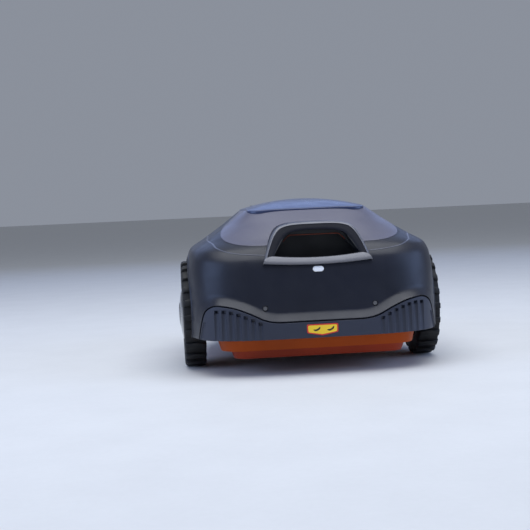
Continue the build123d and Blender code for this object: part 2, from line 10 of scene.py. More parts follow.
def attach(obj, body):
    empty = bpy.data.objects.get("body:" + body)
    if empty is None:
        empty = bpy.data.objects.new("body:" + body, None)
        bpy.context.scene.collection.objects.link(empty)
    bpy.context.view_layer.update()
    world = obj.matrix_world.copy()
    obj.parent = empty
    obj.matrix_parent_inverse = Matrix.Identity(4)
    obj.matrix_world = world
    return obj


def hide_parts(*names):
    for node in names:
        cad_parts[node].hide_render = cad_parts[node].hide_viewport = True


# Looks of a robotic lawn mower around its CAD frame. Shapes are worked out in millimetres in the frame's
# axes (+X right, +Y forward, +Z up, origin on the ground) and made into metres by add_mesh().

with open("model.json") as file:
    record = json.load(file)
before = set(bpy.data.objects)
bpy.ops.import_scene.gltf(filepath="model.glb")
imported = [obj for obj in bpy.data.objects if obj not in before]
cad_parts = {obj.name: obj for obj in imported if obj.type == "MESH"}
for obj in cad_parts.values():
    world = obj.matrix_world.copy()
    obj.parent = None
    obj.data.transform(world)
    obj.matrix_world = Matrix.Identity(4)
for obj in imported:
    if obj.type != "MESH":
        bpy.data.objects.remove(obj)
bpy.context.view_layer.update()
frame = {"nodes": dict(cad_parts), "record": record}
MM = 0.001

# ---- shared sizes, as in the CAD model
WIDEST_Y = -100.0
SHELL_BOTTOM = 61.0
DECK_Z = 270.0
WALL = 4.5
# height, half width, rear end, front end, rear and front squareness
STATIONS = np.array([
    (61, 213, -300, 308, 4.0, 2.8),
    (100, 213, -298, 306, 4.0, 2.8),
    (160, 212, -290, 295, 4.0, 2.8),
    (186, 209, -283, 281, 4.0, 2.75),
    (203, 203.5, -271, 266, 3.8, 2.8),
    (222, 176, -242, 243, 3.3, 2.9),
    (246, 139.5, -205, 204, 3.1, 3.4),
    (270, 106, -165, 150, 4.0, 4.5),
], float)
APRON_HALF, APRON_REACH, APRON_N = 213.0, 210.0, 4.0
WHEEL_Y, WHEEL_Z, ARCH_R, ARCH_IN = -112.0, 93.0, 101.0, 176.0
BAY = (91.0, -129.0, 65.0, 16.0)  # half width, rear, front, corner radius
STOP_Y, STOP_HOLE_R = 114.0, 17.6
CONTROL_TOP = 244.5
POCKET_END = -222.0
LIP_FOOT, LIP_TOP = (-288.6, 179.0), (-256.6, 248.0)


# ---- mesh helpers
def add_mesh(name, shape, slot, nodes=(), finish=None, body="shell", sharp=32.0, cutter=None):
    """Makes a smooth-shaded piece from (points, faces) in millimetres. Edges sharper than an angle stay
    crisp, the cutter's closed meshes are taken out, and the finish is the slot's own unless one is named."""
    verts, faces = shape
    mesh = bpy.data.meshes.new(name)
    mesh.from_pydata((np.asarray(verts, float) * MM).tolist(), [], faces)
    mesh.validate()
    obj = bpy.data.objects.new(name, mesh)
    bpy.context.scene.collection.objects.link(obj)
    if cutter is not None:
        cut_away(obj, cutter)
    mesh = obj.data
    mesh.materials.clear()
    mesh.materials.append(FINISH[finish or slot])
    mesh.shade_smooth()
    mesh.set_sharp_from_angle(angle=radians(sharp))
    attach(obj, body)
    if nodes:
        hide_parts(*nodes)
    return obj


def cut_away(obj, parts):
    """Takes closed meshes, given as (points, faces) in millimetres, out of an object."""
    verts, faces = joined(parts)
    mesh = bpy.data.meshes.new("cutter")
    mesh.from_pydata((verts * MM).tolist(), [], faces)
    tool = bpy.data.objects.new("cutter", mesh)
    bpy.context.scene.collection.objects.link(tool)
    for o in (obj, tool):
        outward(o.data)
    modifier = obj.modifiers.new("cut", "BOOLEAN")
    modifier.operation = "DIFFERENCE"
    modifier.solver = "EXACT"
    modifier.object = tool
    graph = bpy.context.evaluated_depsgraph_get()
    result = bpy.data.meshes.new_from_object(obj.evaluated_get(graph))
    obj.modifiers.clear()
    obj.data = result
    bpy.data.objects.remove(tool)


def outward(mesh):
    """Turns a closed mesh's faces outwards."""
    work = bmesh.new()
    work.from_mesh(mesh)
    bmesh.ops.recalc_face_normals(work, faces=work.faces)
    work.to_mesh(mesh)
    work.free()


def joined(parts):
    """Several (points, faces) meshes as one."""
    verts, faces, start = [], [], 0
    for v, f in parts:
        v = np.asarray(v, float)
        verts.append(v)
        faces += [[i + start for i in face] for face in f]
        start += len(v)
    return np.concatenate(verts), faces


def rings(sections, loop=False):
    """A skin over closed sections, each an array of as many points. Ends are capped, or joined in a loop."""
    grid = np.asarray(sections, float)
    rows, cols, _ = grid.shape
    faces = []
    for r in range(rows if loop else rows - 1):
        a, b = r * cols, (r + 1) % rows * cols
        for c in range(cols):
            d = (c + 1) % cols
            faces.append([a + c, a + d, b + d, b + c])
    verts = grid.reshape(-1, 3)
    if not loop:
        centres = [grid[0].mean(0), grid[-1].mean(0)]
        first, last = len(verts), len(verts) + 1
        verts = np.concatenate([verts, centres])
        base = (rows - 1) * cols
        for c in range(cols):
            d = (c + 1) % cols
            faces.append([first, d, c])
            faces.append([last, base + c, base + d])
    return verts, faces


def slab_between(front, back):
    """A closed plate from two grids of points, its front and its back."""
    front, back = np.asarray(front, float), np.asarray(back, float)
    rows, cols, _ = front.shape
    count = rows * cols
    faces = []
    for r in range(rows - 1):
        for c in range(cols - 1):
            i = r * cols + c
            quad = [i, i + 1, i + cols + 1, i + cols]
            faces.append(quad)
            faces.append([count + k for k in reversed(quad)])
    edge = [*range(cols)] + [r * cols + cols - 1 for r in range(1, rows)]
    edge += [(rows - 1) * cols + c for c in range(cols - 2, -1, -1)]
    edge += [r * cols for r in range(rows - 2, 0, -1)]
    for i, j in zip(edge, edge[1:] + edge[:1]):
        faces.append([j, i, count + i, count + j])
    return np.concatenate([front.reshape(-1, 3), back.reshape(-1, 3)]), faces


def smooth_line(points, count, closed=False):
    """Evenly spaced points on a Catmull-Rom curve through a few points."""
    p = np.asarray(points, float)
    if closed:
        p = np.concatenate([p[-1:], p, p[:2]])
    else:
        p = np.concatenate([2 * p[:1] - p[1:2], p, 2 * p[-1:] - p[-2:-1]])
    t = np.linspace(0, 1, 40, endpoint=False)[:, None]
    out = []
    for a, b, c, d in zip(p, p[1:], p[2:], p[3:]):
        out.append(0.5 * (2 * b + (c - a) * t + (2 * a - 5 * b + 4 * c - d) * t**2
                          + (3 * b - a - 3 * c + d) * t**3))
    line = np.concatenate(out + [p[-2:-1]])
    return even(line, count)


def even(line, count):
    """A polyline's points moved to equal steps along it."""
    s = np.concatenate([[0], np.cumsum(np.linalg.norm(np.diff(line, axis=0), axis=1))])
    want = np.linspace(0, s[-1], count)
    return np.stack([np.interp(want, s, line[:, k]) for k in range(line.shape[1])], 1)


def rounded(corners, radius, count, closed=False):
    """Evenly spaced points on a polyline whose corners are round."""
    p = np.asarray(corners, float)
    n = len(p)
    line = [] if closed else [p[:1]]
    for k in range(0 if closed else 1, n if closed else n - 1):
        a, b, c = p[k - 1], p[k], p[(k + 1) % n]
        u, v = (a - b) / np.linalg.norm(a - b), (c - b) / np.linalg.norm(c - b)
        half = np.arccos(np.clip(u @ v, -1, 1)) / 2
        reach = radius / tan(half)
        centre = b + (u + v) / np.linalg.norm(u + v) * radius / sin(half)
        start, end = b + u * reach - centre, b + v * reach - centre
        turn = pi - 2 * half
        t = np.linspace(0, 1, 13)[:, None]
        line.append(centre + (np.sin((1 - t) * turn) * start + np.sin(t * turn) * end) / sin(turn))
    if not closed:
        line.append(p[-1:])
    line = np.concatenate(line)
    if closed:
        line = np.concatenate([line, line[:1]])
        return even(line, count + 1)[:-1]
    return even(line, count)


def box_ring(x0, x1, z0, z1, r, count):
    """Evenly spaced points round a rectangle with round corners."""
    return rounded([(x0, z0), (x1, z0), (x1, z1), (x0, z1)], r, count, closed=True)


def at_height(plan, z):
    """Plan points at one height."""
    return np.column_stack([plan, np.full(len(plan), z)])


def upright(outline, y):
    """Points in X and Z set at one Y, or at a Y each."""
    return np.column_stack([outline[:, 0], np.broadcast_to(y, len(outline)), outline[:, 1]])


def rounded_box_sdf(x, y, half_x, half_y, r):
    """Signed distance to a rectangle with round corners."""
    qx, qy = np.abs(x) - half_x + r, np.abs(y) - half_y + r
    return np.hypot(np.maximum(qx, 0), np.maximum(qy, 0)) + np.minimum(np.maximum(qx, qy), 0) - r


def rounded_box_ring(turn, half_x, y0, y1, r):
    """Where rays from a plan rectangle's centre leave it. Angle 0 is +Y and a quarter turn is +X."""
    half_y = (y1 - y0) / 2
    near, far = np.zeros_like(turn), np.full_like(turn, half_x + half_y)
    for _ in range(40):
        mid = (near + far) / 2
        inside = rounded_box_sdf(np.sin(turn) * mid, np.cos(turn) * mid, half_x, half_y, r) < 0
        near, far = np.where(inside, mid, near), np.where(inside, far, mid)
    return np.stack([np.sin(turn) * near, (y0 + y1) / 2 + np.cos(turn) * near], 1)


def along_y(outline, y0, y1):
    """A prism along Y from an outline in X and Z."""
    return rings([upright(outline, y) for y in (y0, y1)])


def along_x(profile, axis_y, axis_z, side=1, steps=96, loop=False):
    """Turns a profile of (X, radius) points round a line along X, its ends capped or joined in a loop."""
    turn = np.linspace(0, 2 * pi, steps, endpoint=False)
    y, z = np.cos(turn), np.sin(turn)
    return rings([np.stack([np.full(steps, side * x), axis_y + r * y, axis_z + r * z], 1)
                  for x, r in profile], loop)


def along_z(profile, x, y, steps=64):
    """Turns a profile of (Z, radius) points round an upright line."""
    turn = np.linspace(0, 2 * pi, steps, endpoint=False)
    return rings([np.stack([x + r * np.cos(turn), y + r * np.sin(turn), np.full(steps, z)], 1)
                  for z, r in profile])


# ---- the shell's surface
def station(z):
    """Half width, ends and squareness at each height, joined smoothly without overshoot."""
    shape = np.shape(z) + (5,)
    z = np.clip(np.ravel(z), STATIONS[0, 0], STATIONS[-1, 0])
    x, y = STATIONS[:, 0], STATIONS[:, 1:]
    step = np.diff(x)[:, None]
    slope = np.diff(y, axis=0) / step
    agree = slope[1:] * slope[:-1] > 0
    inner = np.where(agree, 2 * slope[1:] * slope[:-1] / (slope[1:] + slope[:-1] + 1e-12), 0)
    m = np.concatenate([slope[:1], inner, slope[-1:]])
    k = np.clip(np.searchsorted(x, z, side="right") - 1, 0, len(x) - 2)
    h = np.diff(x)[k][:, None]
    t = (z - x[k])[:, None] / h
    rows = ((2 * t**3 - 3 * t**2 + 1) * y[k] + (t**3 - 2 * t**2 + t) * h * m[k]
            + (3 * t**2 - 2 * t**3) * y[k + 1] + (t**3 - t**2) * h * m[k + 1])
    return rows.reshape(shape)


def ends_of(s, y):
    """Squareness and reach from the widest line, ahead of it or behind it."""
    is_ahead = y >= WIDEST_Y
    return (np.where(is_ahead, s[..., 4], s[..., 3]),
            np.where(is_ahead, s[..., 2] - WIDEST_Y, WIDEST_Y - s[..., 1]))


def other_share(share, n):
    """How far a superellipse goes along one axis, once it has gone this share along the other."""
    return np.clip(1 - np.abs(share) ** n, 0, 1) ** (1 / n)


def plan_point(turn, half, rear, front, n_rear, n_front):
    """A plan outline's point at an angle. Angle 0 is the nose and a half turn is the rear."""
    c, s = np.cos(turn), np.sin(turn)
    n = np.where(c >= 0, n_front, n_rear)
    reach = np.where(c >= 0, front - WIDEST_Y, WIDEST_Y - rear)
    r = (np.abs(s) ** n + np.abs(c) ** n) ** (-1 / n)
    return half * r * s, WIDEST_Y + reach * r * c


def dome_point(turn, z, inset=0.0):
    """Points of the shell's skin, moved inwards by inset."""
    turn, z = np.broadcast_arrays(np.asarray(turn, float), np.asarray(z, float))
    s = station(z + inset * 0.9)
    x, y = plan_point(turn, s[..., 0] - inset, s[..., 1] + inset, s[..., 2] - inset, s[..., 3], s[..., 4])
    return np.stack([x, y, z], -1)


def apron_point(turn, z, inset=0.0):
    """Points of the lower rear panel's face."""
    turn, z = np.broadcast_arrays(np.asarray(turn, float), np.asarray(z, float))
    rear, front = WIDEST_Y - APRON_REACH + inset, WIDEST_Y + APRON_REACH - inset
    x, y = plan_point(turn, APRON_HALF - inset, rear, front, APRON_N, 2.0)
    return np.stack([x, y, z], -1)


# distance along the rear panel's plan, from the middle of the rear to each side
TURNS = np.linspace(pi, pi / 2 - 0.5, 4000)
TURN_X, TURN_Y = plan_point(TURNS, APRON_HALF, WIDEST_Y - APRON_REACH, 308.0, APRON_N, 2.8)
LENGTHS = np.concatenate([[0], np.cumsum(np.hypot(np.diff(TURN_X), np.diff(TURN_Y)))])


def turn_at(length):
    """The plan angle at a signed distance round from the middle of the rear, right side positive."""
    side = np.sign(length)
    return pi - side * (pi - np.interp(np.abs(length), LENGTHS, TURNS))


def length_at_x(x):
    """The distance round the rear panel's plan to a given X, on the rear."""
    behind = TURNS > pi / 2
    return np.sign(x) * np.interp(np.abs(x), TURN_X[behind], LENGTHS[behind])


def length_at_turn(turn):
    """The signed distance round at a plan angle between 0 and a full turn."""
    side = np.where(turn <= pi, 1.0, -1.0)
    folded = np.where(turn <= pi, turn, 2 * pi - turn)
    return side * np.interp(-folded, -TURNS, LENGTHS)


def height_of(x, y):
    """The shell's height over plan points, from the shoulder up."""
    x, y = np.asarray(x, float), np.asarray(y, float)
    low, high = np.full(x.shape, 150.0), np.full(x.shape, DECK_Z)
    for _ in range(32):
        mid = (low + high) / 2
        s = station(mid)
        n, reach = ends_of(s, y)
        inside = np.abs(x / s[..., 0]) ** n + np.abs((y - WIDEST_Y) / reach) ** n < 1
        low, high = np.where(inside, mid, low), np.where(inside, high, mid)
    return low


def rear_y(x, z):
    """Where the shell's rear face is, over points seen from behind."""
    x, z = np.broadcast_arrays(np.asarray(x, float), np.asarray(z, float))
    s = station(z)
    return WIDEST_Y - (WIDEST_Y - s[..., 1]) * other_share(x / s[..., 0], s[..., 3])


def nose_y(x, z):
    """Where the shell's nose is, over points seen from the front."""
    s = station(z)
    return WIDEST_Y + (s[..., 2] - WIDEST_Y) * other_share(x / s[..., 0], s[..., 4])


def side_x(y, z):
    """How far out the shell's side is, over points seen from the side."""
    s = station(z)
    n, reach = ends_of(s, y)
    return s[..., 0] * other_share((y - WIDEST_Y) / reach, n)


# the groove round the lower rear panel, in X and Z, right half, from the middle to the foot
GROOVE = [(0, 88), (40, 88), (72, 88.3), (93, 92.6), (118, 104.5), (140, 113), (160, 117),
          (173, 117.3), (183, 112.3), (189, 103.5), (194, 84), (198, 61)]
LEDGE_WIDTH = 16.0
GROOVE_WIDTH = 1.5


def groove_line(count):
    """The groove as distance round and height, from the left foot to the right foot."""
    right = np.array([(float(length_at_x(np.array(x))), z) for x, z in GROOVE])
    left = right[:0:-1] * (-1, 1)
    return smooth_line(np.concatenate([left, right]), count)


GROOVE_PATH = groove_line(700)


def groove_normal():
    """Unit steps across the groove, away from the panel."""
    tangent = np.gradient(GROOVE_PATH, axis=0)
    tangent /= np.linalg.norm(tangent, axis=1)[:, None]
    return np.stack([-tangent[:, 1], tangent[:, 0]], 1)


def groove_distance(length, z):
    """How far points of the rear are from the groove: above zero outside the panel, below zero inside."""
    shape = np.shape(length)
    p = np.stack([np.ravel(length), np.ravel(z)], 1)
    path = np.concatenate([[GROOVE_PATH[0] * (1, 0)], GROOVE_PATH, [GROOVE_PATH[-1] * (1, 0)]])
    best, sign = np.full(len(p), 1e9), np.ones(len(p))
    for a, b in zip(path[:-1:2], path[2::2]):
        d = b - a
        t = np.clip((p - a) @ d / (d @ d), 0, 1)
        gap = p - (a + t[:, None] * d)
        dist = np.hypot(gap[:, 0], gap[:, 1])
        closer = dist < best
        side = d[0] * gap[:, 1] - d[1] * gap[:, 0]
        best, sign = np.where(closer, dist, best), np.where(closer, np.sign(side), sign)
    return (best * sign).reshape(shape)


def flare(distance):
    """How far the skin has moved out to the panel's face, at a distance from the groove: 0 to 1."""
    t = np.clip((LEDGE_WIDTH - distance) / (LEDGE_WIDTH - 1.0), 0, 1)
    return t ** 1.4


def flared(turn, z, share, inset=0.0):
    """Skin points moved a share of the way to the lower rear panel's face, then inwards by inset."""
    inner, outer = dome_point(turn, z, inset), apron_point(turn, z, inset)
    return inner + (outer - inner) * np.asarray(share)[..., None]


# ---- materials
FINISH = {}


def surface(name, colour, roughness, metallic=0.0, coat=0.0, coat_roughness=0.1, grain=900.0, depth=0.00001,
            tint=0.12, wear=0.06, specular=0.5, stretch=(1, 1, 1), dust=0.0):
    """A procedural finish kept under its name: fine grain in relief, drifting colour, uneven roughness."""
    material = bpy.data.materials.new(name)
    material.use_nodes = True
    tree = material.node_tree
    shader = tree.nodes["Principled BSDF"]
    link = tree.links.new

    def add(kind, values=None, operation=None):
        """A node with its operation and some of its inputs set."""
        node = tree.nodes.new(kind)
        if operation:
            node.operation = operation
        for socket, value in (values or {}).items():
            node.inputs[socket].default_value = value
        return node

    place = add("ShaderNodeTexCoord")
    mapping = add("ShaderNodeMapping", {"Scale": stretch})
    link(place.outputs["Object"], mapping.inputs["Vector"])
    slow, fine, patch = [add("ShaderNodeTexNoise", {"Scale": scale, "Detail": detail})
                         for scale, detail in ((9.0, 3.0), (grain, 2.0), (42.0, 5.0))]
    for noise in (slow, fine, patch):
        link(mapping.outputs["Vector"], noise.inputs["Vector"])
    ramp = add("ShaderNodeValToRGB")
    for stop, position, gain in zip(ramp.color_ramp.elements, (0.3, 0.7), (1 - tint, 1 + tint)):
        stop.position = position
        stop.color = (*[min(c * gain, 1) for c in colour], 1)
    blend = add("ShaderNodeMath", {1: 0.45}, "MULTIPLY_ADD")
    link(fine.outputs["Fac"], blend.inputs[0])
    link(slow.outputs["Fac"], blend.inputs[2])
    shift = add("ShaderNodeMath", {1: 0.225}, "SUBTRACT")
    link(blend.outputs[0], shift.inputs[0])
    link(shift.outputs[0], ramp.inputs["Fac"])
    colour_out = ramp.outputs["Color"]
    if dust:
        # pale dust where the surface lies flat
        up, split = add("ShaderNodeNewGeometry"), add("ShaderNodeSeparateXYZ")
        link(up.outputs["Normal"], split.inputs[0])
        lying = add("ShaderNodeMapRange", {"From Min": 0.2, "From Max": 1.0, "To Max": dust})
        link(split.outputs["Z"], lying.inputs["Value"])
        speckle = add("ShaderNodeMath", operation="MULTIPLY")
        link(lying.outputs[0], speckle.inputs[0])
        link(patch.outputs["Fac"], speckle.inputs[1])
        mix = add("ShaderNodeMix")
        mix.data_type = "RGBA"
        mix.inputs["B"].default_value = (0.32, 0.31, 0.29, 1)
        link(speckle.outputs[0], mix.inputs["Factor"])
        link(colour_out, mix.inputs["A"])
        colour_out = mix.outputs["Result"]
    link(colour_out, shader.inputs["Base Color"])
    rough = add("ShaderNodeMapRange", {"From Min": 0.3, "From Max": 0.7, "To Max": min(roughness + wear, 1),
                                       "To Min": max(roughness - wear, 0.02)})
    link(patch.outputs["Fac"], rough.inputs["Value"])
    link(rough.outputs[0], shader.inputs["Roughness"])
    bump = add("ShaderNodeBump", {"Distance": depth, "Strength": 0.6})
    link(fine.outputs["Fac"], bump.inputs["Height"])
    link(bump.outputs["Normal"], shader.inputs["Normal"])
    for socket, value in (("Metallic", metallic), ("Specular IOR Level", specular), ("Coat Weight", coat),
                          ("Coat Roughness", coat_roughness)):
        shader.inputs[socket].default_value = value
    FINISH[name] = material
    return material


surface("shell_plastic", (0.0062, 0.0082, 0.0175), 0.40, coat=0.08, coat_roughness=0.3, grain=1500,
        depth=0.00003, specular=0.36, dust=0.01)
surface("panel_lacquer", (0.085, 0.084, 0.122), 0.40, coat=0.2, coat_roughness=0.25, grain=2400,
        tint=0.05, dust=0.02)
surface("apron_plastic", (0.024, 0.029, 0.048), 0.44, grain=1300, depth=0.00004, specular=0.4)
surface("hood_plastic", (0.0045, 0.0055, 0.0115), 0.38, coat=0.05, coat_roughness=0.2, grain=2000,
        depth=0.00002, specular=0.28)
surface("dark_plastic", (0.008, 0.009, 0.011), 0.6, grain=1100, depth=0.00006)
# light grey: partly the sill trim's own satin colour, partly painted highlight for sky light on its upward
# face
surface("sill_metallic", (0.125, 0.125, 0.140), 0.34, metallic=0.2, coat=0.1, grain=1500, tint=0.06)
surface("sticker_vinyl", (0.90, 0.60, 0.015), 0.35, coat=0.3, grain=1800, tint=0.06)
surface("lens_white", (0.86, 0.88, 0.92), 0.22, coat=0.6, tint=0.03)
surface("hatch_gloss", (0.022, 0.036, 0.100), 0.32, coat=0.35, coat_roughness=0.15, grain=2200,
        specular=0.4, dust=0.01)
surface("orange_plastic", (0.36, 0.055, 0.002), 0.45, grain=1200, depth=0.00005, specular=0.16)
surface("skid_plastic", (0.25, 0.024, 0.004), 0.5, grain=1000, depth=0.00007, tint=0.2, specular=0.25)
surface("grey_plastic", (0.12, 0.125, 0.135), 0.55, grain=1200, depth=0.00005)
surface("stop_red", (0.55, 0.012, 0.010), 0.25, coat=0.5, grain=1600)
surface("key_rubber", (0.035, 0.037, 0.042), 0.7, grain=1500, depth=0.00004, specular=0.35)
surface("green_key_rubber", (0.03, 0.22, 0.06), 0.65, grain=1500, depth=0.00004)
surface("display_glass", (0.010, 0.014, 0.017), 0.08, coat=1.0, coat_roughness=0.03, grain=300,
        depth=0.000002)
surface("circuit_board", (0.010, 0.105, 0.035), 0.35, coat=0.4, grain=500, depth=0.00003, tint=0.3)
surface("seal_rubber", (0.010, 0.010, 0.011), 0.75, grain=1200, depth=0.00004)
surface("tyre_rubber", (0.008, 0.008, 0.009), 0.62, grain=700, depth=0.0001, tint=0.25, wear=0.12,
        specular=0.35, dust=0.03)
surface("hub_gloss", (0.014, 0.016, 0.022), 0.22, coat=0.7, coat_roughness=0.08, grain=1800)
surface("steel", (0.46, 0.47, 0.49), 0.32, metallic=1.0, depth=0.00002, wear=0.1)
surface("blade_steel", (0.56, 0.56, 0.58), 0.26, metallic=1.0, grain=1600, depth=0.00002, stretch=(1, 8, 8),
        wear=0.1)
surface("black_steel", (0.16, 0.16, 0.17), 0.28, metallic=0.9, grain=1400, depth=0.00002)
surface("motor_metal", (0.42, 0.42, 0.44), 0.42, metallic=1.0, grain=600, depth=0.00006)
surface("contact_brass", (0.62, 0.42, 0.14), 0.28, metallic=1.0, depth=0.00002)
surface("battery_shell", (0.018, 0.020, 0.024), 0.55, grain=1000, depth=0.00005)
# painted highlight: a light grey that stands in for gloss and sky light along the hood's rolled rim
surface("rim_painted_highlight", (0.115, 0.118, 0.138), 0.30, metallic=0.25, coat=0.3, grain=2200)
# painted highlight: a lighter slate that stands in for the light caught along the cover seam
surface("seam_painted_highlight", (0.055, 0.060, 0.085), 0.36, coat=0.1, grain=2200)
surface("rust_plastic", (0.16, 0.025, 0.008), 0.5, grain=1200, depth=0.00003)
surface("sticker_red", (0.62, 0.020, 0.010), 0.35, coat=0.3, grain=1800, tint=0.06)
surface("sticker_dark", (0.020, 0.016, 0.012), 0.4, grain=1800)
surface("mark_white", (0.75, 0.76, 0.78), 0.45, grain=1800, tint=0.04)

for part in frame["record"]["subparts"]:
    node = frame["nodes"][part["node"]]
    node.data.materials.clear()
    node.data.materials.append(FINISH[part["material_slot"]])


# ---- shell body
def plan_turns():
    """Plan angles of the shell's columns: close together round the rear, wider at the nose."""
    dense = np.linspace(0, 2 * pi, 6001)
    x, y = plan_point(dense, 213.0, -300.0, 308.0, 4.0, 2.8)
    pace = np.where(y[1:] < -20, 2.0, 4.6)
    s = np.concatenate([[0], np.cumsum(np.hypot(np.diff(x), np.diff(y)) / pace)])
    return np.interp(np.linspace(0, s[-1], int(s[-1]), endpoint=False), s, dense)


def mirrored(side, *middle):
    """An outline from the left foot to the right foot, from the points of its right side."""
    return [(-x, z) for x, z in side] + [*middle] + side[::-1]


def mouth_cutter():
    """The arched mouth of the handle recess, a little larger than the pocket behind it."""
    outline = mirrored([(80.9, 181.1), (62.9, 214.9), (46, 237.9)])
    return along_y(rounded(outline, 11, 120, closed=True), -340, POCKET_END + 2.9)


def stop_cutter():
    """The round hole for the stop button's collar."""
    return along_z([(250, STOP_HOLE_R), (290, STOP_HOLE_R)], 0, STOP_Y)


def box_prism(half_x, z0, z1, r, y0, y1):
    """A block along Y with round long edges."""
    return along_y(box_ring(-half_x, half_x, z0, z1, r, 64), y0, y1)


def shell_body():
    """The shell: its skin from foot to deck, the bay's edge, and the inner wall back down to the foot."""
    turns = plan_turns()
    heights = np.concatenate([[61.0, 61.5, 62.4], np.arange(64, 126, 2.0), np.arange(129, 186, 4.0),
                              np.arange(188, 228, 2.0), np.arange(230, 266, 3.0), [267.5, 269.2]])
    length = length_at_turn(turns)
    behind = np.abs(length) < LENGTHS[-1] - 1
    sections = []
    for z in heights:
        distance = groove_distance(length, np.full(len(turns), z))
        share = np.where(behind & (z < 140), flare(np.maximum(distance, 1.0)), 0)
        share = np.where(distance < 3.5, 0.25, share)
        share = np.where(z < 140, share, 0)
        shrink = {61.0: 1.3, 61.5: 0.5, 62.4: 0.1}.get(z, 0.0)
        sections.append(flared(turns, z, share, shrink))
    deck = dome_point(turns, DECK_Z)
    facing = np.arctan2(deck[:, 0], deck[:, 1] + (BAY[2] - BAY[1]) / 2 - BAY[2])
    hole = at_height(rounded_box_ring(facing, *BAY), DECK_Z)
    for k in (0.0, 0.08, 0.3, 0.6, 0.9):
        sections.append(deck + (hole - deck) * k - (0, 0, 0.25 if k == 0 else 0))
    under = dome_point(turns, DECK_Z - WALL * 0.9, WALL)
    under[:, 2] = DECK_Z - WALL
    sections += [hole, hole - (0, 0, WALL), (hole + under - (0, 0, WALL)) / 2]
    for z in (265.5, *range(258, 217, -8), 212, 206, 200, 194, 186, 176, *range(160, 79, -20), SHELL_BOTTOM):
        sections.append(dome_point(turns, z, WALL))
    side_cut = [along_x([(ARCH_IN, 0), (ARCH_IN, ARCH_R), (262, ARCH_R), (262, 0)], WHEEL_Y, WHEEL_Z, s, 160)
                for s in (-1, 1)]
    slot = box_prism(36, 84, 108, 6, 280, 330)
    screws = [along_y(box_ring(x - 5, x + 5, 106, 116, 4.9, 40), -330, -293.5) for x in (-90, 90)]
    add_mesh("shell_body", rings(sections, loop=True), "shell_plastic", ["outer_shell"],
             cutter=[*side_cut, mouth_cutter(), stop_cutter(), slot, *screws])


def ledge():
    """The flared lip above the groove, and the groove itself."""
    # distance from the groove's middle, and share of the way out to the panel's face
    profile = [(9.0, 0.985), (7.5, 1.0), (6.0, 1.0), (4.5, 1.0), (3.2, 1.0), (2.2, 1.0), (1.6, 0.985),
               (1.1, 0.94), (0.8, 0.86), (0.75, 0.7), (0.75, 0.35), (0.75, 0.05), (4.0, 0.0), (9.0, 0.0)]
    sections = []
    for distance, share in profile:
        at = GROOVE_PATH + groove_normal() * distance
        at[:, 1] = np.maximum(at[:, 1], SHELL_BOTTOM)
        amount = share * flare(np.array(distance)) if distance > 1.6 else share
        sections.append(flared(turn_at(at[:, 0]), at[:, 1], np.full(len(at), amount)))
    add_mesh("rear_ledge", rings(np.stack(sections, 1)), "shell_plastic")


# ---- lower rear panel
FLUTES = [100 + 11.5 * k for k in range(7)]
FLUTE_HALF = 3.65
APRON_CORNER_X, APRON_THICK, EDGE_R, FOOT_R = 187.0, 6.5, 1.4, 1.2


def flute_depth(x, z, tops):
    """Depth of the round-bottomed upright flutes, deepest at their tops, each under a small square notch."""
    depth = np.zeros_like(x)
    for centre in FLUTES:
        across = np.abs(np.abs(x) - centre)
        top = tops[centre]
        channel = np.sqrt(np.clip(1 - (across / FLUTE_HALF) ** 2, 0, 1)) * (z < top - 4.0)
        fall = np.clip((z - SHELL_BOTTOM) / (top - SHELL_BOTTOM), 0, 1)
        notch = (across < FLUTE_HALF - 0.5) & (z > top - 5.0) & (z < top)
        depth = np.maximum(depth, np.maximum((1.2 + 1.8 * fall) * channel, 4.6 * notch))
    lean = np.abs(x) - (194.5 - (z - 61) * 0.22)
    outer = np.sqrt(np.clip(1 - (lean / 2.2) ** 2, 0, 1)) * (z < 91)
    return np.maximum(depth, 1.8 * outer)


def sample(line, t):
    """Points of a polyline at shares of its length."""
    return np.stack([np.interp(t, np.linspace(0, 1, len(line)), line[:, k]) for k in (0, 1)], -1)


def edge_fall(gap, r):
    """How far a rounded edge has dropped, at a distance from it."""
    return np.where(gap < r, r - np.sqrt(np.maximum(r**2 - (r - gap) ** 2, 0)), 0)


